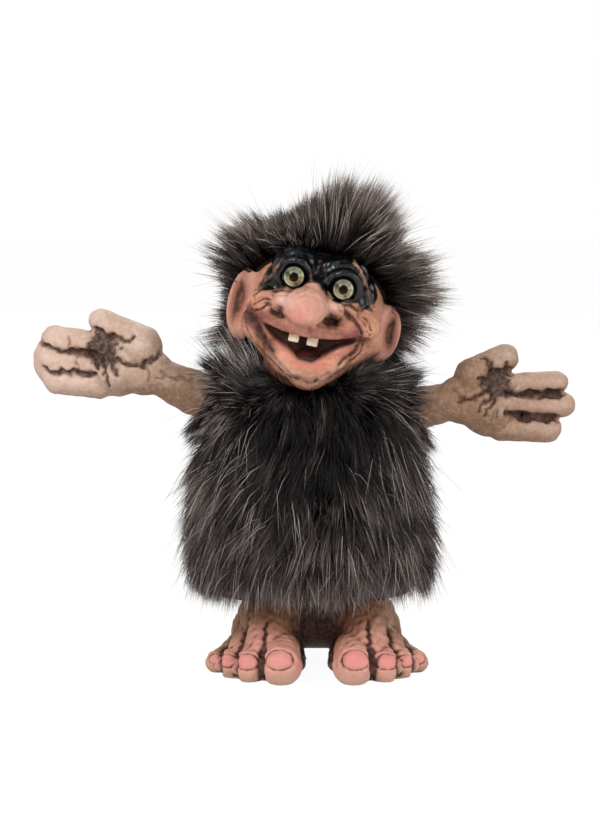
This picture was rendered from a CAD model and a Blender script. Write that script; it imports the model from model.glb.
# %% [markdown]
# # A troll figure in a fur coat
# The figure is a cast body with a turning head and two turning arms. A long-haired coat hides the body,
# a wig of the same fur is glued to the head, and the bare skin is painted, then darkened in its folds.
# The frame holds every rigid piece at its real size. Here the skin gets its modelling and paint, and the fur
# grows.

# %% Load the frame
from math import cos, pi, radians, sin

import bpy
import numpy as np
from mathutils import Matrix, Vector


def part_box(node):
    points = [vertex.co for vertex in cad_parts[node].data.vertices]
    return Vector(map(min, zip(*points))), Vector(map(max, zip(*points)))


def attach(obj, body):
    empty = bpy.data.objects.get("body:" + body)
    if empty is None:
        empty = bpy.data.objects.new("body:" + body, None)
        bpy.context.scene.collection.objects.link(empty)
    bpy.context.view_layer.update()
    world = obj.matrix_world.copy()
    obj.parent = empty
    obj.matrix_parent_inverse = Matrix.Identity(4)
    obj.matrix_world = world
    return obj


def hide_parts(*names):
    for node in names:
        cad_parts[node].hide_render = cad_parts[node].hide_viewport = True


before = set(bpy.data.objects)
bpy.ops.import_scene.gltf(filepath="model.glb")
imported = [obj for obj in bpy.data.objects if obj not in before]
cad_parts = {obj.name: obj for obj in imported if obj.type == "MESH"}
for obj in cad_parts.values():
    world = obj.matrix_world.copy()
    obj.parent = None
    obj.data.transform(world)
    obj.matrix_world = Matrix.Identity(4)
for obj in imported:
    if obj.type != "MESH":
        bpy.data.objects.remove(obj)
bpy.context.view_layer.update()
MM = 0.001

# %% [markdown]
# ## Tools for modelling
# A cast figure starts as clay lumps pressed together. Blender's primitives are the lumps, Join presses them
# together and a voxel Remesh gives them one even skin, which the Smooth modifier then rounds like a wet
# thumb. Boolean unions would keep hard seams between the lumps, so they aren't used.


# %% Lumps and skins
def pick(*pieces):
    """Select these objects alone and make the first one active."""
    bpy.ops.object.select_all(action="DESELECT")
    for piece in pieces:
        piece.select_set(True)
    bpy.context.view_layer.objects.active = pieces[0]


def settle():
    """Put the active object's place, turn and scale into its mesh."""
    bpy.ops.object.transform_apply(location=True, rotation=True, scale=True)
    return bpy.context.object


def add(name, data, spot=(0, 0, 0), turn=(0, 0, 0)):
    """Put new data into the scene as an object, placed in metres and radians."""
    thing = bpy.data.objects.new(name, data)
    thing.location = spot
    thing.rotation_euler = turn
    bpy.context.scene.collection.objects.link(thing)
    return thing


def stand(piece, spot, turn=(0, 0, 0)):
    """Turn a piece by degrees, move it to its spot and put both into its mesh."""
    pick(piece)
    piece.rotation_euler = [radians(angle) for angle in turn]
    piece.location = Vector(spot) * MM
    return settle()


def ball(middle, radius, stretch=(1, 1, 1), turn=(0, 0, 0)):
    """Add a lump of clay, stretched along its own axes and turned by degrees."""
    bpy.ops.mesh.primitive_uv_sphere_add(segments=32, ring_count=18, radius=radius * MM)
    lump = bpy.context.object
    lump.scale = stretch
    return stand(lump, middle, turn)


def limb(start, end, start_radius, end_radius):
    """Add a tapered roll of clay with round ends, as three lumps."""
    run = Vector(end) - Vector(start)
    bpy.ops.mesh.primitive_cone_add(
        vertices=32, radius1=start_radius * MM, radius2=end_radius * MM, depth=run.length * MM
    )
    roll = bpy.context.object
    roll.rotation_euler = run.to_track_quat("Z", "Y").to_euler()
    roll.location = (Vector(start) + Vector(end)) / 2 * MM
    return [settle(), ball(start, start_radius), ball(end, end_radius)]


def chain(points, radius):
    """Add rolls of clay along a line of points."""
    lumps = []
    for start, end in zip(points, points[1:]):
        lumps += limb(start, end, radius, radius)
    return lumps


def apply_modifier(piece, kind, **settings):
    """Add a modifier, set it and apply it."""
    pick(piece)
    modifier = piece.modifiers.new(kind.lower(), kind)
    for name, value in settings.items():
        setattr(modifier, name, value)
    bpy.ops.object.modifier_apply(modifier=modifier.name)


def edit_all(operator, **settings):
    """Run one mesh operator on the whole active object."""
    bpy.ops.object.mode_set(mode="EDIT")
    bpy.ops.mesh.select_all(action="SELECT")
    operator(**settings)
    bpy.ops.object.mode_set(mode="OBJECT")


def reskin(piece, voxel, rounds):
    """Give a piece one even skin and round its seams."""
    apply_modifier(piece, "REMESH", mode="VOXEL", voxel_size=voxel * MM, use_smooth_shade=True)
    apply_modifier(piece, "SMOOTH", factor=0.5, iterations=rounds)


def press_together(name, lumps, voxel, rounds):
    """Join lumps of clay into one piece with an even skin."""
    pick(*lumps)
    bpy.ops.object.join()
    piece = bpy.context.object
    piece.name = name
    reskin(piece, voxel, rounds)
    return piece


# %% [markdown]
# ## Tools for carving
# Wrinkles, nails and lips are strokes of a modelling tool. Each stroke is a short line of points, and every
# vertex near it moves along its normal by an amount that fades with the distance. The same distances give
# the paint its edges, and each coat of paint is kept as a number on every vertex for the materials to read.


# %% Strokes and paint
def rows_of(items, name):
    """One vector of each item, as the rows of an array."""
    flat = np.empty(len(items) * 3, np.float32)
    items.foreach_get(name, flat)
    return flat.reshape(-1, 3).astype(float)


def points_of(piece):
    """The vertices of a piece, in millimetres."""
    return rows_of(piece.data.vertices, "co") / MM


def move_to(piece, points):
    """Move the vertices of a piece to these places, in millimetres."""
    piece.data.vertices.foreach_set("co", (points * MM).astype(np.float32).ravel())
    piece.data.update()


def normals_of(piece):
    """The vertex normals of a piece."""
    return rows_of(piece.data.vertex_normals, "vector")


def averaged(piece, values, rounds):
    """Values on the vertices, each replaced by its neighbours' mean a number of times."""
    ends = np.empty(len(piece.data.edges) * 2, np.int32)
    piece.data.edges.foreach_get("vertices", ends)
    one, other = ends[0::2], ends[1::2]
    count = len(values)
    share = np.bincount(one, minlength=count) + np.bincount(other, minlength=count)
    for _ in range(rounds):
        columns = []
        for column in values.T:
            total = np.bincount(one, column[other], count) + np.bincount(other, column[one], count)
            columns.append(total / np.maximum(share, 1))
        values = np.stack(columns, axis=1)
    return values


def hollowness(piece, rounds, depth):
    """How far each vertex lies in a fold: 0 on open skin, 1 where it is sunk by the given depth."""
    points = points_of(piece)
    sunk = ((averaged(piece, points, rounds) - points) * normals_of(piece)).sum(axis=1)
    return np.clip(sunk / depth, 0, 1)


def away(flat, line):
    """The distance of each flat point from a line of points."""
    line = np.asarray(line, float)
    best = np.full(len(flat), np.inf)
    for start, end in zip(line, line[1:]):
        run = end - start
        share = np.clip(((flat - start) @ run) / (run @ run), 0, 1)
        best = np.minimum(best, np.linalg.norm(flat - start - share[:, None] * run, axis=1))
    return best


def ramp(values, start, width):
    """0 up to the start, then rising to 1 over the width."""
    return np.clip((values - start) / width, 0, 1)


def bell(distance, width):
    """1 at no distance, fading over the width."""
    return np.exp(-((distance / width) ** 2))


def stroke(flat, line, width):
    """A soft stroke along a line of points."""
    return bell(away(flat, line), width)


def dab(points, middle, width):
    """A soft round dab."""
    return np.exp(-((points - np.asarray(middle, float)) ** 2).sum(axis=1) / width**2)


def within(flat, outline, blur):
    """1 inside a closed outline and 0 outside, blurred across its edge."""
    corners = np.asarray(outline, float)
    crossed = np.zeros(len(flat), bool)
    for (x0, z0), (x1, z1) in zip(corners, np.roll(corners, -1, axis=0)):
        if z0 == z1:
            continue
        spans = (flat[:, 1] < max(z0, z1)) & (flat[:, 1] >= min(z0, z1))
        crossed ^= spans & (flat[:, 0] < x0 + (flat[:, 1] - z0) * (x1 - x0) / (z1 - z0))
    edge = away(flat, [*outline, outline[0]])
    return np.clip(0.5 + np.where(crossed, edge, -edge) / blur, 0, 1)


def ripple(points, size, seed):
    """A smooth unevenness between about -1 and 1, the same on every run."""
    rng = np.random.default_rng(seed)
    total = np.zeros(len(points))
    waves = 7
    for _ in range(waves):
        way = rng.normal(size=points.shape[1])
        way *= 2 * pi / size * rng.uniform(0.6, 1.5) / np.linalg.norm(way)
        total += np.sin(points @ way + rng.uniform(0, 2 * pi))
    return total / waves**0.5


def unsteady(flat, points, amount, size, seed):
    """Flat points shaken a little, so that no stroke runs quite straight."""
    shakes = [ripple(points, size, seed), ripple(points, size, seed + 1)]
    return flat + amount * np.stack(shakes, axis=1)


def paint_on(piece, **coats):
    """Keep coats of paint on a piece, each as a number on every vertex."""
    for name, amount in coats.items():
        layer = piece.data.attributes.new(name, "FLOAT", "POINT")
        layer.data.foreach_set("value", np.clip(amount, 0, 1).astype(np.float32))


def place(piece, body, slot, finish, *nodes):
    """Give a finished piece its material and its place in the frame's table."""
    piece.data.materials.clear()
    piece.data.materials.append(finish)
    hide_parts(*nodes)
    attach(piece, body)
    print(piece.name, "for", ", ".join(nodes), len(piece.data.loop_triangles), "triangles")


# %% [markdown]
# ## Tools for the finishes
# A material is a sum of layers, and sums read best as Python. A small class wraps a socket, so that adding
# or multiplying two of them adds the Math node. Every other node comes from one method of its node tree.


# %% Wires and finishes
class Wire:
    """A node's output that takes part in sums."""

    def __init__(self, nodes, socket):
        self.nodes = nodes
        self.socket = socket

    def sum(self, operation, one, other):
        return self.nodes.node("Math", {"operation": operation}, {0: one, 1: other})

    def __add__(self, other):
        return self.sum("ADD", self, other)

    __radd__ = __add__

    def __sub__(self, other):
        return self.sum("SUBTRACT", self, other)

    def __rsub__(self, other):
        return self.sum("SUBTRACT", other, self)

    def __mul__(self, other):
        return self.sum("MULTIPLY", self, other)

    __rmul__ = __mul__

    def __truediv__(self, other):
        return self.sum("DIVIDE", self, other)

    def between(self, low, high):
        """0 below low, 1 above high and smooth between them."""
        settings = {"interpolation_type": "SMOOTHSTEP"}
        return self.nodes.node("MapRange", settings, {"Value": self, "From Min": low, "From Max": high})


class Nodes:
    """The node tree of a material or a world."""

    def __init__(self, owner):
        owner.use_nodes = True
        self.tree = owner.node_tree

    def feed(self, node, values):
        """Set or link a node's sockets."""
        for key, value in values.items():
            if isinstance(value, Wire):
                self.tree.links.new(value.socket, node.inputs[key])
            else:
                node.inputs[key].default_value = value

    def node(self, kind, settings=None, values=None, output=0):
        """Add a node: its settings first, then its sockets."""
        node = self.tree.nodes.new("ShaderNode" + kind)
        for name, value in (settings or {}).items():
            setattr(node, name, value)
        self.feed(node, values or {})
        return Wire(self, node.outputs[output])


class Finish(Nodes):
    """One material with its nodes."""

    def __init__(self, name, **constants):
        self.material = bpy.data.materials.new(name)
        super().__init__(self.material)
        self.shader = self.tree.nodes["Principled BSDF"]
        self.done(**constants)

    def mix(self, share, one, other):
        """One colour over another."""
        return self.node("Mix", {"data_type": "RGBA"}, {0: share, 6: one, 7: other}, output=2)

    def layered(self, shade, *layers):
        """Colours laid over a first one in turn, each with its share."""
        for share, tint in layers:
            shade = self.mix(share, shade, tint)
        return shade

    def place(self):
        return self.node("TexCoord", output=3)

    def paint(self, name):
        return self.node("Attribute", {"attribute_name": name}, output=2)

    def noise(self, scale, detail=3.0, distortion=0.0):
        values = {"Vector": self.place(), "Scale": scale, "Detail": detail, "Distortion": distortion}
        return self.node("TexNoise", {}, values)

    def bump(self, height, strength, distance):
        values = {"Height": height, "Strength": strength, "Distance": distance}
        return self.node("Bump", {}, values)

    def done(self, **values):
        """Set or link the shader's sockets and give back the material."""
        self.feed(self.shader, {key.replace("_", " "): value for key, value in values.items()})
        return self.material


def colour(red, green, blue):
    """A colour written as it shows on a screen, 0 to 255, turned into the light that shaders use."""
    shares = [value / 255 for value in (red, green, blue)]
    light = [share / 12.92 if share < 0.04045 else ((share + 0.055) / 1.055) ** 2.4 for share in shares]
    return light + [1.0]


# %% [markdown]
# ## Painted skin
# The cast skin is painted in thin coats: a flesh tone that drifts between two shades, rose on lips, cheeks
# and nails, black gloss round the eyes, and a brown wash that is rubbed off again and stays in every fold.
# One function makes it for face, hands and feet, with their own shades. Noise breaks up each coat's edge
# like a brush.


# %% Skin finishes
def painted_skin(name, light, dark, earth):
    """A cast skin with the coats of paint that its vertices carry."""
    skin = Finish(name, Specular_IOR_Level=0.25, Coat_Roughness=0.12)
    broad = skin.noise(90.0, 4.0)
    fine = skin.noise(700.0, 5.0, 0.6)
    wash = skin.paint("wash") * (0.35 + fine * 1.3)
    black = (skin.paint("black") + (fine - 0.5) * 0.5).between(0.25, 0.75)
    cloudy = (broad * 0.6 + fine * 0.4).between(0.42, 0.68)
    shade = skin.layered(
        skin.mix((broad * 0.75 + fine * 0.45).between(0.36, 0.8), light, dark),
        (skin.paint("earth") * (0.5 + fine * 0.9), earth),
        (skin.paint("pale") * (0.55 + broad * 0.6), colour(212, 174, 160)),
        (skin.paint("rose") * (0.4 + broad * 0.7), colour(206, 122, 114)),
        (skin.paint("mauve") * (0.45 + fine * 0.8), colour(116, 60, 58)),
        (skin.paint("maroon"), colour(28, 7, 7)),
        (wash.between(0.04, 0.85) * 0.8, colour(84, 52, 40)),
        (wash.between(0.5, 1.2) * 0.85, colour(30, 19, 15)),
        (black, skin.mix(cloudy, colour(5, 5, 7), colour(20, 22, 28))),
    )
    height = skin.noise(1500.0, 4.0) * 0.5 + fine * 0.8
    return skin.done(
        Base_Color=shade, Roughness=0.52 + fine * 0.16 - black * 0.3, Coat_Weight=black * 0.4,
        Normal=skin.bump(height, 0.4, 0.0004),
    )


face_skin = painted_skin("painted_face", colour(206, 154, 124), colour(162, 108, 82), colour(128, 86, 62))
hand_skin = painted_skin("painted_hands", colour(206, 183, 168), colour(172, 144, 124), colour(122, 92, 70))
foot_skin = painted_skin("painted_feet", colour(206, 158, 130), colour(160, 116, 90), colour(112, 79, 57))

# %% [markdown]
# ## The head
# The head leans towards the right arm, so it is modelled upright in its own axes and leaned at the end. The
# lumps are the skull, two heavy brows, a long muzzle, cheeks, chin, nose and ears. Mouth, sockets and ear
# hollows are then pushed in from the front, and a second skin evens out the walls that this stretched.

# %% Head lumps
head_place = (3.0, -5.0, 122.0)
head_lean = 12.5
eyes = {"left": (-10.1, 14.7), "right": (7.2, 14.1)}
ears = {
    "left": ((-24.2, 2.0, 0.6), 13.4, 7.6, -1),
    "right": ((25.0, 2.0, 0.6), 10.6, 7.0, 1),
}
ear_splay = 33
lid_tilt = pi / 2 + 0.36
upper_lip = [
    (-18.5, -13.5, -0.6), (-10, -19.2, -2.4), (-1, -21.6, -2.6), (8, -20.0, -1.4), (15.5, -14.5, 0.6),
]
lower_lip = [(-12.2, -17.6, -10.6), (-4, -21.6, -15.6), (5.5, -21.6, -15.4), (12, -17.4, -9.0)]

lumps = [
    ball((0, 3, 4), 23),
    ball((0, 4.5, 6), 23.6),
    ball((-1, -3, 13), 14.5, (1.06, 1, 1)),
    ball((-9.6, -9.5, 18), 8.2, (1.1, 1, 1)),
    ball((6.6, -9.5, 17.6), 8.6, (1.1, 1, 1)),
    ball((-0.5, -8, -2), 15, (1.46, 0.86, 1)),
    ball((-16.8, -12.6, 2.2), 6.6, (1.1, 0.9, 1)),
    ball((15.6, -12.6, 2.6), 6.4, (1.1, 0.9, 1)),
    ball((-4, -25.6, 5.9), 7.1, (1.04, 0.98, 0.96)),
    ball((-11.3, -20.6, 5.2), 4.4, (1.05, 1, 0.95)),
    ball((4.8, -20.4, 6.4), 4.2, (1.1, 1, 0.9)),
]
lumps += limb((-1.8, -16.5, 14.5), (-3.2, -24, 8), 3.0, 5.2)
lumps += limb((1.5, -9.5, -7), (1.6, -15.4, -14.6), 12.4, 8.4)
lumps += limb((-18.5, -8.5, -4), (-6.0, -13.5, -14), 6.2, 6.2)
lumps += limb((18.5, -8.5, -2.5), (6.6, -13.5, -13.5), 6.2, 6.2)
lumps += limb((0, 4, -6), (-3, 5, -17), 14, 11)
lumps += chain(upper_lip, 2.7) + chain(lower_lip, 3.1)
for x, z in eyes.values():
    bpy.ops.mesh.primitive_torus_add(
        major_radius=5.4 * MM, minor_radius=1.6 * MM, rotation=(lid_tilt, 0, 0)
    )
    bpy.context.object.location = Vector((x, -16.6, z + 0.3)) * MM
    lumps.append(settle())
for middle, tall, wide, side in ears.values():
    lumps.append(ball(middle, 1, (wide, 3.6, tall), (0, 0, side * ear_splay)))
head = press_together("head_skin", lumps, 0.55, 10)
print("head lumps:", len(lumps))

# %% [markdown]
# The pockets are pushed in along the head's depth. A vertex inside a pocket's outline goes back to the
# pocket's floor, and the blurred outline makes the wall.

# %% Mouth, sockets, nostrils and ear hollows
mouth_line = [
    (-17.5, -3.0), (-9.8, -4.5), (-1.1, -4.9), (7.8, -3.7), (14.5, -1.9), (16.4, -2.4),
    (10.6, -5.4), (5.8, -9.4), (1.9, -12.2), (-2.6, -12.1), (-7.4, -9.2), (-12.0, -7.4),
]
mouth_floor = -13.2
socket_floor, socket_radius = -12.4, 3.9
ear_depth = 3.4
nostrils = [((-12.4, 2.2), 2.0, 4.5), ((5.6, 3.0), 2.7, 5.0)]


def ear_hollow(points, middle, tall, wide, side):
    """How far each point lies in an ear's hollow, which is narrow and near the outer rim."""
    turn = radians(side * ear_splay)
    x, y, z = (points - np.array(middle)).T
    out = side * (x * cos(turn) + y * sin(turn)) - 0.42 * wide
    fore = y * cos(turn) - x * sin(turn)
    shell = np.hypot(out / np.where(out > 0, 0.3, 0.85) / wide, (z - 0.8) / (0.9 * tall))
    return ramp(-shell, -1.05, 0.75) * (fore < 1.5) * (side * points[:, 0] > 18.5)


skin = points_of(head)
flat = skin[:, [0, 2]]
across, deep, _ = skin.T
front = ramp(-deep, 8, 2)
deep += within(flat, mouth_line, 1.0) * front * np.maximum(mouth_floor - deep, 0)
for eye_spot in eyes.values():
    pushed = ramp(-np.hypot(*(flat - np.array(eye_spot)).T), -socket_radius, 0.7) * front
    deep += pushed * np.maximum(socket_floor - deep, 0)
for middle, width, depth in nostrils:
    deep += dab(flat, middle, width) * front * depth
for ear in ears.values():
    turn = radians(ear[3] * ear_splay)
    hollow = ear_hollow(skin, *ear) * ear_depth
    across += hollow * -sin(turn)
    deep += hollow * cos(turn)
move_to(head, skin)
reskin(head, 0.5, 3)
print("head skin:", len(head.data.vertices), "vertices")

# %% [markdown]
# Now the strokes: grooves are negative and ridges positive, in millimetres. Each one is a line across the
# face, given as across and up, and only skin that faces forwards takes it.

# %% Wrinkles of the face
left_ridge = [(-21.5, 6.6), (-17.6, 13.6), (-15.2, 19.5)]
right_ridge = [(9.4, 23.4), (13.4, 19.1), (15.9, 14.6), (18.6, 8.8)]
smile_fold = [(-23.0, -0.6), (-19.6, -3.8), (-15.0, -9.4), (-12.2, -12.0)]
face_strokes = [
    ([(-2.6, 25), (-2.5, 20), (-2.4, 17.4)], 1.2, -1.9),
    (left_ridge, 0.7, 0.9),
    ([(-20.2, 8.2), (-16.4, 14.6), (-14.2, 20.0)], 0.55, -0.8),
    ([(-22.0, 5.2), (-18.8, 12.6), (-16.6, 18.6)], 0.6, -0.8),
    (right_ridge, 0.7, 0.9),
    ([(12.2, 23.2), (16.2, 17.6), (19.6, 9.6)], 0.6, -0.8),
    ([(13.2, 18.4), (16.8, 10.2)], 0.5, -0.6),
    ([(-15.6, 8.0), (-10.4, 8.8), (-5.8, 11.0)], 0.6, -0.8),
    ([(7.0, 8.8), (11.6, 8.6), (15.6, 8.8)], 0.6, -0.8),
    ([(-24.2, -7.5), (-24.8, -3.4), (-23.6, 0.8), (-20.1, 4.6), (-16.6, 5.4)], 0.6, -1.0),
    ([(-23.0, -3.0), (-22.4, 0.4), (-19.6, 3.2), (-16.8, 3.8)], 0.5, -0.7),
    ([(-16.4, 3.2), (-19.4, 1.0), (-21.6, -1.0)], 0.8, -1.2),
    (smile_fold, 1.1, -1.6),
    ([(-23.8, -4.6), (-19.4, -10.4), (-13.6, -15.0)], 0.5, -0.8),
    ([(-22.4, -3.4), (-18.4, -8.2), (-14.0, -12.6)], 0.4, -0.6),
    ([(8.6, 7.0), (13.2, 4.6), (17.2, 0.6)], 0.9, -1.2),
    ([(12.9, 8.2), (17.0, 5.8), (20.2, 2.4)], 0.45, -0.8),
    ([(13.6, 6.6), (17.4, 3.8), (20.0, 0.4)], 0.45, -0.8),
    ([(17.4, -1.6), (15.6, -6.0), (11.4, -11.2)], 0.8, -1.2),
    ([(19.0, -1.0), (18.0, -5.6), (14.0, -11.0)], 0.5, -0.7),
    ([(-10.8, -14.0), (-4.0, -18.8), (2.8, -20.0), (9.0, -15.2)], 0.9, -0.7),
    ([(-1.0, -0.4), (-0.9, -3.4)], 0.9, -0.6),
    ([(-6, -21.6), (2, -23.2), (7, -20.8)], 0.6, -0.3),
]
skin = points_of(head)
facing = normals_of(head)
flat = unsteady(skin[:, [0, 2]], skin, 0.35, 5.0, 3)
forwards = np.clip(-facing[:, 1] * 1.8, 0, 1) * (skin[:, 1] < -3)
carved = 0.16 * ripple(skin, 3.2, 5) * forwards
for line, width, amount in face_strokes:
    carved = carved + amount * stroke(flat, line, width) * forwards
move_to(head, skin + facing * carved[:, None])
print("face strokes:", len(face_strokes))

# %% [markdown]
# The paint follows the same lines. The wash gathers by itself wherever the skin is hollow.

# %% Paint of the face
mask_line = [
    (-21.0, 7.6), (-20.4, 15.2), (-19, 24), (-9.2, 34), (-3.8, 36), (7.8, 36), (16, 30), (20, 20),
    (20, 13), (18.6, 8.8), (13.4, 9.2), (7.6, 8.6), (1.6, 10.8), (-1.6, 14.2), (-3.6, 13.8),
    (-6.2, 11.8), (-10.2, 10.0), (-15.4, 8.8),
]
skin = points_of(head)
across, deep, up = skin.T
flat = unsteady(skin[:, [0, 2]], skin, 0.5, 6.0, 6)
ahead = ramp(-deep, 4, 3)
folds = np.maximum(hollowness(head, 10, 0.22), hollowness(head, 40, 0.8))
grooves = np.zeros(len(skin))
for line, width, amount in face_strokes:
    if amount < 0:
        grooves = np.maximum(grooves, -amount * stroke(flat, line, width * 0.9))
mouth = within(skin[:, [0, 2]], mouth_line, 1.2) * (deep < -6)
nose = dab(skin, (-4, -26, 5.4), 8.0)
dry = np.maximum(stroke(flat, left_ridge, 0.9), stroke(flat, right_ridge, 0.9))
crest = stroke(flat, [(-2.4, 23), (-2.2, 18)], 1.6)
left_lid = stroke(flat, [(-14.6, 9.8), (-8.6, 10.4), (-5.4, 12.2), (-3.7, 15.4), (-3.6, 18.0)], 0.6)
right_lid = stroke(flat, [(2.3, 12.4), (4.2, 10.0), (7.1, 8.9), (10.6, 8.9), (13.4, 9.9)], 0.6)
furrow = stroke(flat, smile_fold, 1.9)
corner = stroke(flat, [(12.6, -3.6), (17.6, -1.6), (16.0, -5.4), (12.0, -9.6)], 1.9)
cheek = dab(flat, (-22.4, -2.4), 4.2) + 0.6 * dab(flat, (16.6, 5.0), 3.0)
hollows = np.maximum(ear_hollow(skin, *ears["left"]), ear_hollow(skin, *ears["right"]))
ear_flesh = ramp(np.abs(across), 20.5, 2.5) * (deep > -8) * (1 - hollows)
ridges = np.clip(ripple(skin, 1.6, 9) * 0.6, 0, 1) * dry
mask = within(flat, mask_line, 1.2) * ahead * (1 - 0.6 * dry) * (1 - 0.4 * crest)
mask *= (1 - 0.35 * left_lid) * (1 - 0.55 * right_lid) * (1 - np.clip(nose * 1.3, 0, 1))
mauve = 0.9 * stroke(flat, [(x, z) for x, _, z in upper_lip], 2.1) * (1 - nose)
mauve += 0.9 * furrow + 0.75 * corner + 0.6 * cheek + 0.6 * left_lid
rose = 0.6 * stroke(flat, [(x, z + 2.6) for x, _, z in lower_lip], 1.9) + 0.3 * ear_flesh
rose += (0.3 + 0.75 * dab(flat, (-7.4, 2.4), 3.4) + 0.45 * dab(flat, (-3.6, 1.6), 4.4)) * nose
rose += 0.6 * dab(flat, (-20.5, 1.0), 3.6) + 0.5 * dab(flat, (14, 0), 4)
pale = 0.75 * nose + 0.8 * dab(flat, (-12, 6.4), 3.4) + 0.6 * dab(flat, (5.4, 8), 3) + 0.5 * ridges
pale += 0.4 * ear_flesh + 0.4 * stroke(flat, [(x, z - 2.4) for x, _, z in lower_lip], 1.6)
wash = 0.6 * folds + 0.42 * np.clip(grooves, 0, 1) * ahead - 0.8 * nose + 0.35 * hollows**2 + 0.5 * dry
nostril = 0.9 * dab(flat, (5.8, 2.8), 2.8) + 0.8 * dab(flat, (-12.4, 2.0), 1.9)
paint_on(
    head, black=mask, maroon=np.maximum(mouth, 0.55 * furrow * ahead),
    mauve=ahead * mauve + 0.4 * hollows**2, rose=rose * (1 - mouth), pale=pale, wash=wash + nostril * ahead,
    earth=np.clip((-up - 12) / 14, 0, 0.25) + 0.25 * (1 - ahead) + 0.3 * hollows,
)
stand(head, head_place, (0, head_lean, 0))
place(head, "head", "face_skin", face_skin, "head_shell")

# %% [markdown]
# ## Hands and feet
# Each arm is modelled along its own axis, each foot along its own length, and both are turned into place.
# The left hand is a mitten with cracks for fingers, the right one has three parted fingers.

# %% Arm tool
shoulders = {"left": (-1, (-26.0, 0, 91.2), 20, 8.0), "right": (1, (30.0, 0, 88.1), 13, 7.4)}
hand_depth = -2.0


def modelled_arm(name, straight, wrist, palm, digits, fillers, cracks, patch, tan):
    """Model and paint one arm. Its lumps and strokes are given as along the arm and up across it."""
    side, shoulder, rise, radius = shoulders[name]

    def spot(along, up):
        return (side * along, hand_depth, up)

    (wrist_spot, wrist_radius), (palm_spot, palm_radius) = wrist, palm
    lumps = limb((side * 1.0, 0, 0), (side * straight, 0, 0), radius - 0.4, radius)
    lumps += limb((side * straight, 0, 0), spot(*wrist_spot), radius, wrist_radius)
    lumps += limb(spot(*wrist_spot), spot(palm_spot[0], palm_spot[1] - 3), wrist_radius, 8.2)
    lumps.append(ball(spot(*palm_spot), palm_radius, (1, 0.56, 1)))
    for middle, half_length, half_height, half_depth in fillers:
        lumps.append(ball(spot(*middle), 1, (half_length, half_depth, half_height), (0, side * 12, 0)))
    for start, end, start_radius, end_radius in digits:
        lumps += limb(spot(*start), spot(*end), start_radius, end_radius)
    arm = press_together(f"{name}_arm_skin", lumps, 0.45, 20)
    skin = points_of(arm)
    facing = normals_of(arm)
    flat = unsteady(np.stack([side * skin[:, 0], skin[:, 2]], axis=1), skin, 0.45, 4.0, 11)
    palm_side = np.clip(-facing[:, 1] * 1.8, 0, 1)
    carved = 0.12 * ripple(skin, 4.5, 13)
    stain = np.zeros(len(skin))
    for line, width, depth in cracks:
        carved = carved - depth * (stroke(flat, line, width) * palm_side)
        stain = np.maximum(stain, min(1.0, depth) * stroke(flat, line, width * 1.15) * palm_side)
    middle, spread, cup = patch
    bowl = dab(flat, middle, spread) * palm_side
    carved = carved - cup * bowl - 0.3 * bowl * ripple(skin, 2.2, 14)
    move_to(arm, skin + facing * carved[:, None])
    along = flat[:, 0]
    folds = np.maximum(hollowness(arm, 8, 0.2), 0.8 * hollowness(arm, 30, 0.7)) * (along > 26)
    behind, under = np.clip(facing[:, 1], 0, 1), np.clip(-facing[:, 2], 0, 1)
    paint_on(
        arm, wash=np.maximum(0.6 * folds, 0.95 * stain) + np.clip(2.0 * bowl - 0.35, 0, 0.85),
        earth=tan + np.clip((40 - along) / 24, 0, 0.95) + 0.3 * behind + 0.75 * under,
        pale=0.25 * ramp(along, 44, 14) * (1 - stain),
    )
    stand(arm, shoulder, (0, -side * rise, 0))
    place(arm, f"{name}_arm", "cast_skin", hand_skin, f"{name}_arm_casting")


# %% Left hand
modelled_arm(
    "left", 14, ((27.5, 1.5), 6.4), ((43.2, 1.2), 12.4),
    [
        ((37.0, 9.2), (53, 13), 7.8, 4.4), ((50, 4.0), (66.0, 1.5), 5.4, 4.8),
        ((49, -2.2), (65.6, -5.6), 4.9, 4.8), ((46, -8.0), (60.4, -11.9), 5.4, 5.0),
    ],
    [((58.4, -4.0), 13.2, 11.6, 4.8), ((34.0, 1.4), 12.0, 8.8, 6.4)],
    [
        ([(71.5, -1.1), (66.2, -1.5), (61.7, -1.1), (57.5, 0.5), (50.8, 1.6)], 0.75, 1.7),
        ([(61, -0.8), (57, 0.6), (52, 1.4)], 1.2, 0.9),
        ([(66.4, -9.0), (63.9, -9.6), (59.2, -8.0), (54.2, -6.2), (48.4, -5.3)], 0.6, 1.3),
        ([(60, -8.2), (54, -6.4), (49, -5.4)], 1.1, 0.9),
        ([(53.6, 9.6), (48.1, 9.8), (44.1, 10.4), (41.0, 10.4), (39.6, 13.0)], 0.8, 1.5),
        ([(42.6, 3.4), (38.1, 2.9), (34.1, 3.7), (31.0, 6.8), (29.6, 10)], 0.8, 1.2),
        ([(47.4, 5.1), (43.1, 1.0), (41.0, -2.2)], 0.9, 0.9),
        ([(49.2, 2.5), (45.8, -1.9), (42.3, -7.3)], 0.6, 1.0),
        ([(50.6, 0.6), (47.9, -2.8)], 0.6, 0.8), ([(60.6, 4.6), (60.0, 1.6)], 0.45, 0.6),
        ([(56.4, 0.4), (55.4, -3.6), (54.4, -6.2)], 0.4, 0.6), ([(31.9, 4.1), (29.7, -0.8)], 0.5, 0.6),
        ([(28.0, 0.8), (24.6, 3.4), (20.1, 3.7), (15.7, 4.8)], 0.5, 0.5),
        ([(26.8, 4.1), (22.1, 2.9), (18.2, 5.3)], 0.5, 0.5),
    ],
    ((49.0, 4.0), 6.0, 1.2), 0.0,
)

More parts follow.
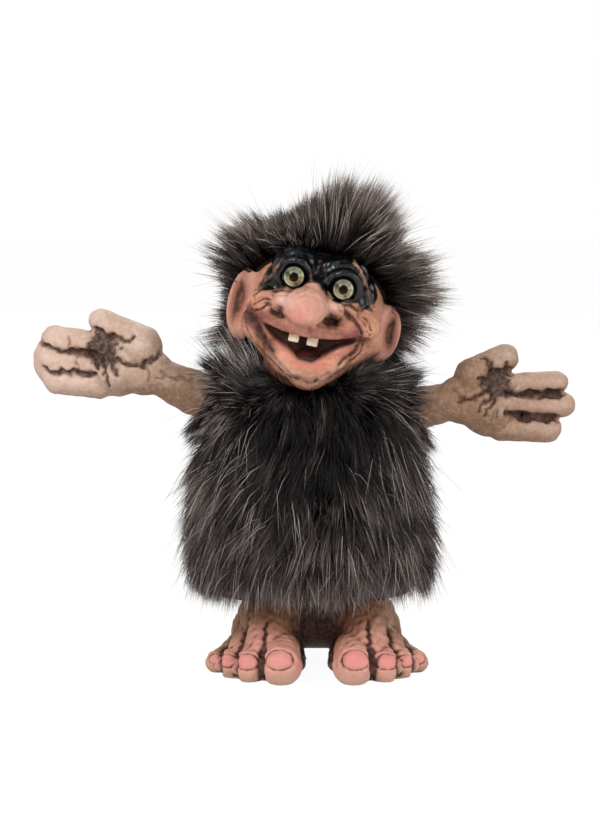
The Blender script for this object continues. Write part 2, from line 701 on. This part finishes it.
# %% Right hand
modelled_arm(
    "right", 13, ((22, 0), 6.6), ((35.9, -3.3), 12.6),
    [
        ((31.6, 6.8), (43.8, 10.8), 6.8, 5.0), ((41, 1.8), (59.6, -1.7), 4.0, 4.1),
        ((39.5, -5.8), (60.2, -9.9), 4.2, 4.5), ((37, -12.4), (53.2, -17.0), 5.2, 5.0),
    ],
    [((50.0, -7.4), 10.6, 9.2, 3.0), ((28.0, -0.6), 12.0, 9.0, 6.4)],
    [
        ([(42.3, -0.9), (45.2, -2.2), (50.8, -3.7), (56.8, -5.0), (62.6, -5.8)], 0.9, 2.2),
        ([(42.5, -1.0), (46, -2.2), (51, -3.7), (59, -5.4)], 1.5, 0.9),
        ([(40.2, -6.8), (43.2, -9.4), (49.0, -11.4), (53.9, -13.0), (58.6, -14.8)], 0.9, 2.0),
        ([(40.6, -7.6), (43.6, -9.8), (48, -11.2), (55, -13.2)], 1.6, 0.9),
        ([(36.0, 13.4), (37.9, 10.8), (38.2, 8.0)], 0.8, 1.3), ([(43.8, 9.8), (43.6, 7.1)], 0.6, 0.9),
        ([(38.3, 7.4), (44, 6.6), (49.2, 5.2)], 0.9, 1.4),
        ([(24.4, -0.1), (30.2, 0.2), (35.6, 2.2)], 0.7, 1.0),
        ([(30.0, -4.7), (33.0, -2.1), (36.6, -0.5)], 0.5, 0.9),
        ([(32.1, -6.4), (34.7, -3.3), (37.1, -1.8)], 0.5, 0.9),
        ([(34.0, -9.0), (36.0, -5.2)], 0.4, 0.7), ([(36.2, -8.2), (37.2, -5.5)], 0.4, 0.7),
        ([(33.2, 6.2), (35.0, 4.9), (38.0, 5.9)], 0.6, 0.8), ([(24, 4.6), (26.4, 0.6)], 0.6, 0.7),
    ],
    ((38.8, 3.6), 5.8, 1.5), 0.55,
)

# %% [markdown]
# A foot is a flat-soled lump with four toes, and a web joins each leg to its twin at a seam. The nails are
# large, so each one is pressed into its toe as an oval rim, deepest at the cuticle, with a raised bed in it.

# %% Feet
toes = [(-8.5, 37, 7.0, 18), (2.8, 34.5, 5.7, 16), (10.4, 29, 4.7, 13), (15.6, 22.5, 3.9, 9)]
toe_lift = 0.88
foot_turn = 6
hip_height = 26.0
leg_depth = 2.0
web_seam = 4.3
nail_slope = radians(34)


def modelled_leg(name, side, leg_x):
    """Model and paint one leg. Across is outwards, and forwards is against the depth."""
    lumps = limb((0, 0, hip_height - 11.5), (0, 0, 9), 11, 13.4)
    lumps.append(ball((side * 1, -12, 0), 15.5, (1, 1.52, 1)))
    lumps += limb((0, -5, 16), (side * -2, -27, 7), 9.6, 7.2)
    lumps += limb((0, 0, 15), (side * -17.0, 1.8, 15), 11.2, 11.2)
    for out, fore, radius, length in toes:
        height = radius * toe_lift
        tip = (side * out, -fore, height)
        lumps += limb((side * out * 0.8, length - fore, height + 1.5), tip, radius * 0.9, radius)
        lumps.append(ball((tip[0], tip[1] + radius * 0.1, height * 0.92), radius, (1.06, 1, 0.96)))
    leg = press_together(f"{name}_leg_skin", lumps, 0.5, 8)
    skin = points_of(leg)
    facing = normals_of(leg)
    across, fore, up = side * skin[:, 0], -skin[:, 1], skin[:, 2]
    flat = unsteady(np.stack([across, fore], axis=1), skin, 0.3, 5.0, 21)
    upper = np.clip(facing[:, 2] * 2 + 0.8, 0, 1) * (up > 1.5)
    gaps, nails, rims = np.zeros((3, len(skin)))
    for (out, tip, radius, _), (next_out, next_tip, next_radius, _) in zip(toes, toes[1:]):
        middle = (out + radius + next_out - next_radius) / 2
        reach = min(tip, next_tip) + 2
        line = [(middle, reach), (middle * 0.9, reach - 10), (middle * 0.7, reach - 22)]
        gap = stroke(flat, line, 1.2) * upper * ramp(fore, reach - 23, 13) ** 1.5
        cleft = bell(flat[:, 0] - middle, 1.0) * ramp(fore, reach - 9, 4)
        gaps = np.maximum(gaps, np.maximum(gap, cleft))
    carved = 0.22 * ripple(skin, 4.0, 23) * upper - 1.3 * gaps
    for out, tip, radius, _ in toes:
        rise = up - radius * (toe_lift + 0.45)
        ahead = fore - tip - radius * 0.66
        along = ahead * sin(nail_slope) - rise * cos(nail_slope)
        out_of = ahead * cos(nail_slope) + rise * sin(nail_slope)
        oval = np.hypot((across - out) / (0.72 * radius), along / (0.55 * radius))
        near = (np.abs(out_of) < radius * 0.7) * (np.abs(across - out) < radius * 1.1)
        rims = np.maximum(rims, bell((oval - 1) * radius, 0.6) * near * np.where(along < 0, 1.2, 0.6))
        nails = np.maximum(nails, np.clip((1 - oval) * 3, 0, 1) * near)
        knuckle = bell(fore - tip + radius * 0.9, 0.6) * (np.abs(across - out) < radius * 0.8)
        gaps = np.maximum(gaps, 0.5 * knuckle * upper * (facing[:, 2] > 0.3))
    carved = carved - 0.75 * rims + 0.25 * nails
    skin = skin + facing * carved[:, None]
    skin[:, 2] = np.maximum(skin[:, 2], 0.0)
    move_to(leg, skin)
    front = ramp(fore, 18, 14)
    folds = np.maximum(hollowness(leg, 8, 0.2), hollowness(leg, 36, 0.9))
    inside = ramp(-across, 9, 6) * ramp(-fore, -26, 14)
    paint_on(
        leg, wash=(0.6 * folds + 0.7 * gaps + 0.5 * rims + 1.7 * inside) * (skin[:, 2] > 0.4),
        rose=0.8 * nails + 0.6 * front * np.clip(facing[:, 2] + 0.7, 0, 1), pale=0.6 * nails + 0.5 * front,
        earth=ramp(-fore, -28, 16) * 0.75 + 0.2 * (1 - upper),
    )
    stand(leg, (leg_x, leg_depth, 0), (0, 0, side * foot_turn))
    skin = points_of(leg)
    skin[:, 0] = side * np.maximum(side * skin[:, 0], side * web_seam - 0.05)
    move_to(leg, skin)
    place(leg, "body", "cast_skin", foot_skin, f"{name}_leg")


modelled_leg("left", -1, -12.8)
modelled_leg("right", 1, 21.4)

# %% [markdown]
# ## Eyes, teeth and tongue
# An eye is a clear dome over a painted disc, and the thick dome enlarges the paint until it seems to lie
# right under its surface. So the dome carries the rings itself, under a thin coat of gloss: a black pupil,
# gold below it, an iris with streaks that run outwards, a pale rim and a dark edge, all shaded by the lid.


# %% Eyes
def iris_paint(name, node, **gloss):
    """Rings of paint about the middle line of an eye."""
    low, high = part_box(node)
    middle = (low + high) / 2
    iris = Finish(name, **gloss)

    def vector(operation, *sides, output=0):
        return iris.node("VectorMath", {"operation": operation}, dict(enumerate(sides)), output)

    centred = vector("SUBTRACT", iris.place(), middle)
    flattened = vector("MULTIPLY", centred, (1, 0, 1))
    out = vector("LENGTH", flattened, output=1) / MM
    way = vector("NORMALIZE", flattened)
    streaks = iris.node("TexNoise", {}, {"Vector": way, "Scale": 0.9, "Detail": 3.0})
    upwards = iris.node("SeparateXYZ", {}, {"Vector": centred}, output=2) / MM
    shade = iris.layered(
        iris.mix(streaks.between(0.36, 0.64), colour(58, 56, 38), colour(158, 156, 132)),
        (out.between(2.6, 3.2) * streaks.between(0.3, 0.7), colour(206, 202, 166)),
        (out.between(3.2, 3.5), colour(9, 8, 5)),
        ((1 - out.between(1.7, 2.2)) * (1 - upwards.between(-0.8, 1.2)), colour(146, 100, 20)),
        (1 - out.between(1.45, 1.75), colour(36, 22, 4)),
        (1 - out.between(1.25, 1.45), colour(1, 1, 1)),
        (upwards.between(0.8, 3.4) * 0.65, colour(10, 9, 7)),
    )
    return iris.done(Base_Color=shade)


def dress(node, finish):
    """Give a piece of the frame its material."""
    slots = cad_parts[node].data.materials
    slots.clear()
    slots.append(finish)


glass_gloss = {"Roughness": 0.3, "Specular_IOR_Level": 0.0, "Coat_Weight": 0.35, "Coat_Roughness": 0.02}
for side in ("left", "right"):
    dress(f"{side}_eye_disc", iris_paint(f"{side}_iris", f"{side}_eye_disc", Roughness=0.4))
    dress(f"{side}_eye_glass", iris_paint(f"{side}_eye_dome", f"{side}_eye_glass", **glass_gloss))


# %% Teeth and tongue
enamel = Finish("tooth_enamel", Specular_IOR_Level=0.5)
stain = enamel.noise(500.0).between(0.35, 0.7)
enamel_finish = enamel.done(
    Base_Color=enamel.mix(stain, colour(222, 202, 178), colour(186, 152, 124)),
    Roughness=0.3 + enamel.noise(900.0) * 0.2,
)
flesh = Finish("tongue_flesh", Specular_IOR_Level=0.5, Roughness=0.35)
flesh_finish = flesh.done(
    Base_Color=flesh.mix(flesh.noise(300.0, 4.0).between(0.35, 0.7), colour(64, 17, 17), colour(34, 8, 9)),
    Normal=flesh.bump(flesh.noise(1400.0), 0.4, 0.0004),
)

tooth_depth, tooth_height = -18.3, -4.9
for side, x, size in (("left", -5.6, 2.15), ("right", 0.9, 2.25)):
    bpy.ops.mesh.primitive_cube_add(size=2 * size * MM, scale=(0.84, 0.5, 1.05))
    block = stand(bpy.context.object, (x, tooth_depth, tooth_height))
    tooth = press_together(f"{side}_tooth_cap", [block], 0.16, 26)
    stand(tooth, head_place, (0, head_lean, 0))
    place(tooth, "head", "tooth_enamel", enamel_finish, f"{side}_tooth")
dress("tongue", flesh_finish)

# %% [markdown]
# ## Hidden pieces
# The body, its plug, dowels, bolts and studs are under the fur, but the part comes apart, so they get plain
# honest finishes: dark cast stone, turned wood and bright steel.

# %% Wood, steel and casting
steel = Finish("fastener_steel", Metallic=1.0)
steel_finish = steel.done(
    Base_Color=steel.mix(steel.noise(400.0), colour(186, 188, 190), colour(150, 152, 156)),
    Roughness=0.25 + steel.noise(900.0) * 0.2,
)
wood = Finish("turned_wood")
bands = {"Vector": wood.place(), "Scale": 120.0, "Distortion": 4.0}
grain = wood.node("TexWave", {"wave_type": "BANDS"}, bands)
wood_finish = wood.done(
    Base_Color=wood.mix(grain, colour(196, 156, 106), colour(160, 118, 74)), Roughness=0.6 + grain * 0.1
)
casting = Finish("body_casting")
speckle = casting.noise(260.0, 5.0)
casting_finish = casting.done(
    Base_Color=casting.mix(speckle, colour(58, 48, 42), colour(40, 33, 29)), Roughness=0.75 + speckle * 0.15,
    Normal=casting.bump(speckle, 0.3, 0.0005),
)
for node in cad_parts:
    if any(word in node for word in ("bolt", "washer", "nut", "stud")):
        dress(node, steel_finish)
    elif any(word in node for word in ("dowel", "plug")):
        dress(node, wood_finish)
    elif node in ("torso_shell", "head_pate"):
        dress(node, casting_finish)

# %% [markdown]
# ## Fur
# Fur is a dark pelt with tens of thousands of hairs. A particle system can't be handed on as meshes that
# ride on a body, so each hair is a thin three-sided spike, built by the thousand in arrays. Long hairs that
# lie near each other bend to a common tip, which gives the fur its locks, and short dark ones fill the
# ground between them. The UV map of the hairs holds their tone across and their length upwards, so the
# fur's colours need only that map.


# %% Fur finish
TONES = 64


def fur_finish(name, root, middle, tip):
    """Dark at the root, lighter at the tip, with a tone of its own for each hair."""
    fur = Finish(name, Specular_IOR_Level=0.3)
    chart = fur.node("UVMap", {"uv_map": "OFBake"})
    tone, along = (fur.node("SeparateXYZ", {}, {"Vector": chart}, output=axis) for axis in (0, 1))
    shade = fur.layered(
        root,
        (along.between(0.12, 0.7) * tone.between(-0.1, 0.5), middle),
        (along.between(0.35, 1.0) * tone.between(0.3, 0.75), tip),
        (along.between(0.1, 0.45) * tone.between(0.93, 0.96) * 0.75, colour(204, 194, 186)),
    )
    return fur.done(Base_Color=shade, Roughness=0.4 + tone * 0.12)


coat_fur = fur_finish("coat_fur", colour(6, 5, 6), colour(54, 45, 44), colour(176, 158, 150))
wig_fur = fur_finish("wig_fur", colour(7, 6, 6), colour(54, 45, 41), colour(164, 144, 132))
pelt = Finish("fur_pelt", Specular_IOR_Level=0.2)
pelt_nap = pelt.noise(800.0, 3.0)
pelt_finish = pelt.done(
    Base_Color=pelt.mix(pelt_nap, colour(8, 7, 7), colour(20, 17, 16)), Roughness=0.8 + pelt_nap * 0.1
)


# %% Hair builder
# Each ring of a hair: how far along it lies, and its share of the width.
hair_rings = {0.0: 1.0, 0.52: 0.8}
strand_size = 9
short_share, stray_share, stray_tone = 0.3, 0.06, 0.98


def unit(vectors):
    """Vectors brought to length 1."""
    return vectors / np.linalg.norm(vectors, axis=1, keepdims=True)


def locks_of(roots, rng, per_lock):
    """The number of the lock that each hair belongs to: the one whose first hair is nearest."""
    leaders = roots[rng.choice(len(roots), len(roots) // per_lock, replace=False)].astype(np.float32)
    lock = np.empty(len(roots), np.int64)
    step = 2000
    for start in range(0, len(roots), step):
        some = roots[start:start + step].astype(np.float32)
        gaps = (leaders**2).sum(axis=1)[None, :] - 2 * some @ leaders.T
        lock[start:start + step] = gaps.argmin(axis=1)
    return lock


def shared(group, draw, *numbers, axes=()):
    """One draw for each strand, lock or tuft, given to all its hairs."""
    return draw(*numbers, (group.max() + 1, *axes))[group]


def gathered(ends, lock, pull):
    """Hair ends drawn towards the middle of their lock."""
    size = np.maximum(np.bincount(lock), 1)[:, None]
    middles = np.stack([np.bincount(lock, column) for column in ends.T], axis=1) / size
    return ends + pull[:, None] * (middles[lock] - ends)


def tied(ends, strand, lock, loose, lock_pull, rng):
    """Hair ends drawn together by strands and then by locks, which loose hairs hardly follow."""
    ends = gathered(ends, strand, np.where(loose, 0.1, rng.uniform(0.3, 0.9, len(ends))))
    return gathered(ends, lock, np.where(loose, 0.05, rng.uniform(0.1, lock_pull, len(ends))))


def toned(strand, lock, short, rng, darkened=1.0):
    """A tone for each hair, in part shared with its strand and lock. Short hairs are dark."""
    tone = 0.4 * shared(strand, rng.beta, 0.7, 0.9) + 0.3 * shared(lock, rng.random)
    return (tone + 0.3 * rng.random(len(strand))) ** darkened * np.where(short, 0.45, 1.0)


def hair_faces():
    """The faces of one hair, by corner, and how far along the hair each corner lies."""
    sides = ((0, 1), (1, 2), (2, 0))
    faces = [(2, 1, 0)]
    for one, other in sides:
        faces += [(one, other, other + 3), (one, other + 3, one + 3)]
    faces = np.array(faces + [(one + 3, other + 3, 6) for one, other in sides])
    return faces, np.repeat([*hair_rings, 1], (3, 3, 1))[faces]


def grow_hair(name, rng, roots, middles, ends, radius, tone):
    """Build one mesh of closed, three-sided hairs, each bent through its middle point."""
    count = len(roots)
    run = unit(ends - roots)
    side = unit(np.cross(run, rng.normal(size=(count, 3))))
    other = np.cross(run, side)
    spots = []
    for share, width in hair_rings.items():
        line = (1 - share) ** 2 * roots + 2 * share * (1 - share) * middles + share**2 * ends
        for corner in range(3):
            angle = 2 * pi * corner / 3
            spots.append(line + (cos(angle) * side + sin(angle) * other) * (radius * width)[:, None])
    spots.append(ends)
    points = np.stack(spots, axis=1).reshape(-1, 3)
    one_hair, heights = hair_faces()
    faces = (np.arange(count)[:, None, None] * len(spots) + one_hair[None]).reshape(-1, 3)
    mesh = bpy.data.meshes.new(name)
    mesh.from_pydata(points * MM, [], faces, shade_flat=False)
    column = np.clip(np.floor(tone * TONES), 0, TONES - 1)
    corners = np.tile([0.25, 0.75, 0.5], (len(heights), 1))
    across = (column[:, None, None] + corners[None]) / TONES
    chart = np.stack([across, np.broadcast_to(heights * 0.96 + 0.02, across.shape)], axis=-1)
    mesh.uv_layers.new(name="OFBake").data.foreach_set("uv", chart.astype(np.float32).ravel())
    return add(name, mesh)


def grow_quarters(name, body, finish, nodes, front, left, rng, *hairs):
    """Grow hairs in four pieces, front and back, left and right."""
    for face, node, in_face in zip(("front", "back"), nodes, (front, ~front)):
        for side, in_side in (("left", left), ("right", ~left)):
            own = in_face & in_side
            hair = grow_hair(f"{name}_hair_{face}_{side}", rng, *(values[own] for values in hairs))
            place(hair, body, f"{name}_fur", finish, node)


# %% [markdown]
# ## The coat
# The pelt is a tube sewn to the body's form, so it starts as an open cylinder that is drawn in level by
# level and given a thickness. Its hair lies down and outwards, and is shorter on the sleeves and at the hem.

# %% Coat pelt
body_x = 2.0
coat_levels = np.array([(36.0, 73, 62), (50.0, 73, 62), (74.0, 67, 58), (90.0, 55, 48), (100.0, 38, 35)])
coat_thickness = 1.2


def coat_size(height):
    """The pelt's width and depth at a height."""
    levels, widths, depths = coat_levels.T
    return np.interp(height, levels, widths), np.interp(height, levels, depths)


hem, collar = coat_levels[0, 0], coat_levels[-1, 0]
bpy.ops.mesh.primitive_cylinder_add(
    vertices=96, radius=1.0, depth=(collar - hem) * MM, end_fill_type="NOTHING"
)
coat_pelt = stand(bpy.context.object, (0, 0, (hem + collar) / 2))
coat_pelt.name = "coat_pelt"
edit_all(bpy.ops.mesh.subdivide, number_cuts=11)
cloth = points_of(coat_pelt)
wide, deep = coat_size(cloth[:, 2])
turn = np.arctan2(cloth[:, 1], cloth[:, 0])
cloth[:, 0] = body_x + np.cos(turn) * wide / 2
cloth[:, 1] = np.sin(turn) * deep / 2
move_to(coat_pelt, cloth)
apply_modifier(coat_pelt, "SOLIDIFY", thickness=coat_thickness * MM, offset=-1.0)
place(coat_pelt, "body", "coat_fur", pelt_finish, "coat_front", "coat_back")

# %% [markdown]
# A hair starts on the pelt, leaves it along its normal and is drawn down by its weight. Hairs share their
# curl and tone by strands, their length and lean by locks, and whole tufts sway together. Round the neck the
# fur stands up into a ruff, on the sleeves it follows the arms, and under the chin it is nearly black.

# %% Coat hair
lowest_root = 40.0
lowest_end = 18.0
rng = np.random.default_rng(41)
coat_count = 60000
height = lowest_root + (collar - lowest_root) * rng.power(0.95, coat_count)
at_hem = rng.random(coat_count) < 0.25
height[at_hem] = lowest_root + rng.uniform(-2, 5, at_hem.sum())
at_collar = rng.random(coat_count) < 0.09
height[at_collar] = collar - rng.uniform(0, 5, at_collar.sum())
angle = rng.uniform(0, 2 * pi, coat_count)
wide, deep = coat_size(height)
roots = np.stack([body_x + np.cos(angle) * wide / 2, np.sin(angle) * deep / 2, height], axis=1)
normal = unit(np.stack([np.cos(angle) / wide, np.sin(angle) / deep, np.zeros(coat_count)], axis=1))
aside = np.where(np.sin(angle) < 0, np.abs(np.cos(angle) - 0.03), 1)
ruff = ramp(height, 90, 7) * np.interp(aside, (0.28, 0.5), (0, 1))
ruff *= np.interp(np.cos(angle), (-0.85, -0.5, -0.2, 0.25, 0.5, 0.8), (1, 0.45, 1, 1, 0.65, 0.5))
normal[:, 2] += 1.8 * ruff

sleeve_count = coat_count // 16
for side, shoulder, rise, thick in shoulders.values():
    along = rng.uniform(-7, 8, sleeve_count)
    spin = rng.uniform(0, 2 * pi, sleeve_count)
    run = np.array([side * cos(radians(rise)), 0, sin(radians(rise))])
    up = np.array([-side * sin(radians(rise)), 0, cos(radians(rise))])
    out = np.cos(spin)[:, None] * up + np.sin(spin)[:, None] * np.array([0, 1, 0])
    sleeve = np.array(shoulder) + along[:, None] * run + out * (thick + coat_thickness)
    roots = np.concatenate([roots, sleeve])
    normal = np.concatenate([normal, 0.6 * out + 0.8 * run])
    ruff = np.concatenate([ruff, np.zeros(sleeve_count)])
count = len(roots)
on_sleeve = np.arange(count) >= coat_count
short = rng.random(count) < short_share
stray = (rng.random(count) < stray_share) & ~short
strand, lock, tuft = (locks_of(roots, rng, hairs) for hairs in (strand_size, 70, 450))
length = rng.uniform(20, 28, count) * shared(lock, rng.uniform, 0.7, 1.2)
length *= shared(strand, rng.uniform, 0.85, 1.1) * (1 - 0.1 * ruff)
hem_line = lowest_end + shared(lock, rng.uniform, 0, 5)
length = np.minimum(length, (roots[:, 2] - hem_line) * rng.uniform(0.9, 1.2, count))
length[on_sleeve] = rng.uniform(8, 16, on_sleeve.sum())
length[short] *= rng.uniform(0.45, 0.7, short.sum())
length[stray] *= rng.uniform(1.0, 1.3, stray.sum())
stand_off = shared(lock, rng.uniform, 0.05, 0.4) + shared(tuft, rng.uniform, 0, 0.25)
stand_off *= np.interp(roots[:, 2], (38, 60, 80), (0.35, 0.8, 1.0))
sway = shared(lock, rng.normal, 0, 0.24) + shared(tuft, rng.normal, 0, 0.24)
sway += shared(strand, rng.normal, 0, 0.14)
sideways = np.stack([-normal[:, 1], normal[:, 0], np.zeros(count)], axis=1)
lean = normal * (stand_off + 0.8 * ruff + 0.6 * on_sleeve)[:, None] + sideways * sway[:, None]
lean += rng.normal(0, 0.09, (count, 3))
lean[short] += 0.3 * normal[short] + rng.normal(0, 0.2, (short.sum(), 3))
weight = rng.uniform(0.85, 1.2, count) * (1 - 0.45 * on_sleeve) * (1 - 0.8 * ruff)
drop = np.array([0, 0, -1.0]) * weight[:, None]
curl = shared(strand, rng.normal, 0, 1.0, axes=(3,)) + rng.normal(0, 0.5, (count, 3))
middles = roots + unit(lean * 1.8 + drop * 0.5) * (0.42 * length)[:, None] + curl
ends = middles + unit(lean + drop) * (0.62 * length)[:, None]
ends = tied(ends, strand, lock, short | stray, 0.6, rng)
ends[:, 2] = np.maximum(ends[:, 2], hem_line)
radius = np.where(short, 0.16, rng.uniform(0.1, 0.15, count)) * np.where(stray, 0.85, 1.0)
chin = dab(roots[:, [0, 2]], (4, 92), 22) * (roots[:, 1] < 6)
tone = toned(strand, lock, short, rng, 1.0 + 2.2 * chin)
tone[stray & (chin < 0.6)] = stray_tone
grow_quarters(
    "coat", "body", coat_fur, ("coat_front", "coat_back"), roots[:, 1] < 0, roots[:, 0] < body_x, rng,
    roots, middles, ends, radius, tone,
)

# %% [markdown]
# ## The wig
# The wig's pelt is a cap on the crown, cut off on a slant from the brow down to the nape. Its hair stands
# out all round the head like a burr, and grows behind the ears too. It is short over the left brow, where it
# parts, and the lowest hairs are kept above the shoulders.

# %% Wig pelt
cap_middle, cap_radius = (0.0, 5.0, 6.0), 24.2
hairline = 11.5
nape = -16.0
wig_thickness = 0.8
cap = ball(cap_middle, cap_radius)
cap.name = "wig_pelt_cap"
edit_all(bpy.ops.mesh.subdivide, number_cuts=1, smoothness=1.0)
for cut_spot, cut_way in (((0, hairline / 2, hairline / 2), (0, -1, -1)), ((0, 0, nape), (0, 0, -1))):
    edit_all(bpy.ops.mesh.bisect, plane_co=Vector(cut_spot) * MM, plane_no=cut_way, clear_outer=True)
apply_modifier(cap, "SOLIDIFY", thickness=wig_thickness * MM, offset=1.0)

# %% [markdown]
# How far the hair reaches depends on the way it points, seen from the front, in degrees from straight up.
# Along the hairline a fringe of short dark hairs leans over the edge of the pelt.

# %% Wig hair
reach = np.array([
    (-162, 0.9), (-137, 1.3), (-125, 1.5), (-111, 0.45), (-97, 0.45), (-87, 0.95), (-70, 0.9), (-52, 0.8),
    (-34, 0.3), (-18, 0.5), (-2, 1.25), (20, 1.3), (33, 1.05), (43, 0.75), (53, 1.0), (70, 1.15),
    (88, 1.15), (110, 1.15), (137, 1.1), (162, 0.8),
])
full_length, longest = 32.0, 30.0
rng = np.random.default_rng(57)
wig_count = 52000
ways = unit(rng.normal(size=(wig_count * 5, 3)))
roots = np.array(cap_middle) + ways * (cap_radius + 0.6)
x, y, z = roots.T
kept = (y + z > hairline + 0.3) | ((np.abs(x) > 9) & (y > 9))
kept &= (z > nape) & ~((np.abs(x) > 19) & (y < 6) & (z < 11))
kept &= rng.random(len(roots)) < np.interp(z, (-8, 6), (1.0, 0.45))
ways, roots = ways[kept][:wig_count], roots[kept][:wig_count]
x, y, z = roots.T
count = len(roots)
fringe = y + z < hairline + 4
short = (rng.random(count) < short_share) | (fringe & (rng.random(count) < 0.6))
stray = (rng.random(count) < stray_share) & ~short
strand, lock, tuft = (locks_of(roots, rng, hairs) for hairs in (strand_size, 60, 380))
pointing = np.degrees(np.arctan2(ways[:, 0], ways[:, 2]))
length = full_length * rng.beta(3.2, 1.3, count) * np.interp(pointing, *reach.T)
length *= shared(lock, rng.uniform, 0.75, 1.2) * shared(tuft, rng.uniform, 0.8, 1.15)
length = np.maximum(length * (1 - 0.3 * np.clip(ways[:, 1], 0, 1)), 8)
length[short] = np.minimum(length[short], rng.uniform(8, 14, short.sum()))
length[stray] *= rng.uniform(1.0, 1.35, stray.sum())
length = np.minimum(length, longest)
toss = shared(lock, rng.normal, 0, 0.2, axes=(3,)) + shared(tuft, rng.normal, 0, 0.16, axes=(3,))
toss += shared(strand, rng.normal, 0, 0.1, axes=(3,))
spread = np.array([1.15, 0.6, 1.0])
way = unit(ways * spread + toss + rng.normal(0, 0.1, (count, 3)) + np.array([0, 0.05, 0.1]))
way[:, 2] -= 0.3 * ramp(-z, -2, 12)
way[fringe] = unit(way[fringe] + np.array([0, -0.5, 0.1]))
curl = shared(strand, rng.normal, 0, 1.1, axes=(3,)) + rng.normal(0, 0.6, (count, 3))
middles = roots + (0.5 * ways + 0.5 * way) * (0.5 * length)[:, None] + curl
ends = middles + (way + np.array([0, 0, -0.1])) * (0.52 * length)[:, None]
ends = tied(ends, strand, lock, short | stray, 0.55, rng)
rest_line = rng.uniform(-19, -14, count)
middles[:, 2] = np.maximum(middles[:, 2], rest_line + 2)
ends[:, 2] = np.maximum(ends[:, 2], rest_line)
radius = np.where(short, 0.15, rng.uniform(0.09, 0.14, count)) * np.where(stray, 0.85, 1.0)
tone = toned(strand, lock, short, rng)
tone[stray] = stray_tone
left, front = x < 0, y < np.median(y)
lean = radians(head_lean)
turned = np.array([[cos(lean), 0, sin(lean)], [0, 1, 0], [-sin(lean), 0, cos(lean)]])
roots, middles, ends = (spots @ turned.T + np.array(head_place) for spots in (roots, middles, ends))
stand(cap, head_place, (0, head_lean, 0))
place(cap, "head", "wig_fur", pelt_finish, "wig_pelt")
grow_quarters(
    "wig", "head", wig_fur, ("wig_pelt", "wig_pelt"), front, left, rng, roots, middles, ends, radius, tone
)

# %% [markdown]
# ## Stage, light and camera
# A pale floor, a pale world and three soft lamps light the figure evenly, as on a catalogue page. For the
# camera the world and the floor are white, and the floor still takes a shadow.

# %% Stage
bpy.ops.mesh.primitive_plane_add(size=6.0)
floor = bpy.context.object
floor.name = "floor"
white = (1, 1, 1, 1)
paper = Finish("paper", Base_Color=(0.9, 0.9, 0.9, 1), Roughness=0.9, Specular_IOR_Level=0.0)
seen, glossy, through = (paper.node("LightPath", output=ray) for ray in (0, 3, 6))
shown = paper.node("Math", {"operation": "MAXIMUM"}, {0: seen, 1: glossy})
shown = paper.node("Math", {"operation": "MAXIMUM"}, {0: shown, 1: through})
glow = paper.node("Emission", {}, {"Color": white, "Strength": 1.045})
surface = Wire(paper, paper.shader.outputs[0])
blend = paper.node("MixShader", {}, {0: shown * 0.9, 1: surface, 2: glow})
paper.feed(paper.tree.nodes["Material Output"], {"Surface": blend})
floor.data.materials.append(paper.material)

world = bpy.data.worlds.new("white_room")
bpy.context.scene.world = world
room = Nodes(world)
lit = room.tree.nodes["Background"]
room.feed(lit, {"Color": white, "Strength": 0.55})
plain = room.node("Background", {}, {"Color": white})
chosen = room.node("MixShader", {}, {0: room.node("LightPath"), 1: Wire(room, lit.outputs[0]), 2: plain})
room.feed(room.tree.nodes["World Output"], {"Surface": chosen})

figure_middle = 0.09


def soft_lamp(name, spot, size, power):
    """A square lamp that looks at the figure's middle."""
    light = bpy.data.lights.new(name, "AREA")
    light.size = size
    light.energy = power
    sight = Vector((0, 0, figure_middle)) - Vector(spot)
    add(name, light, spot, sight.to_track_quat("-Z", "Y").to_euler())


soft_lamp("key", (-0.55, -0.85, 0.75), 0.5, 9.0)
soft_lamp("fill", (0.8, -0.6, 0.4), 0.6, 4.0)
soft_lamp("rim", (0.3, 0.8, 0.8), 0.5, 5.0)

# %% Camera
eye = bpy.data.cameras.new("camera")
eye.lens = 97.97
eye.sensor_width = 36.0
eye.clip_start = 0.01
look_down = 7.39
camera = add("camera", eye, (-0.0016, -0.8, 0.19), (radians(90 - look_down), 0, 0))
bpy.context.scene.camera = camera
bpy.context.scene.view_settings.view_transform = "Standard"
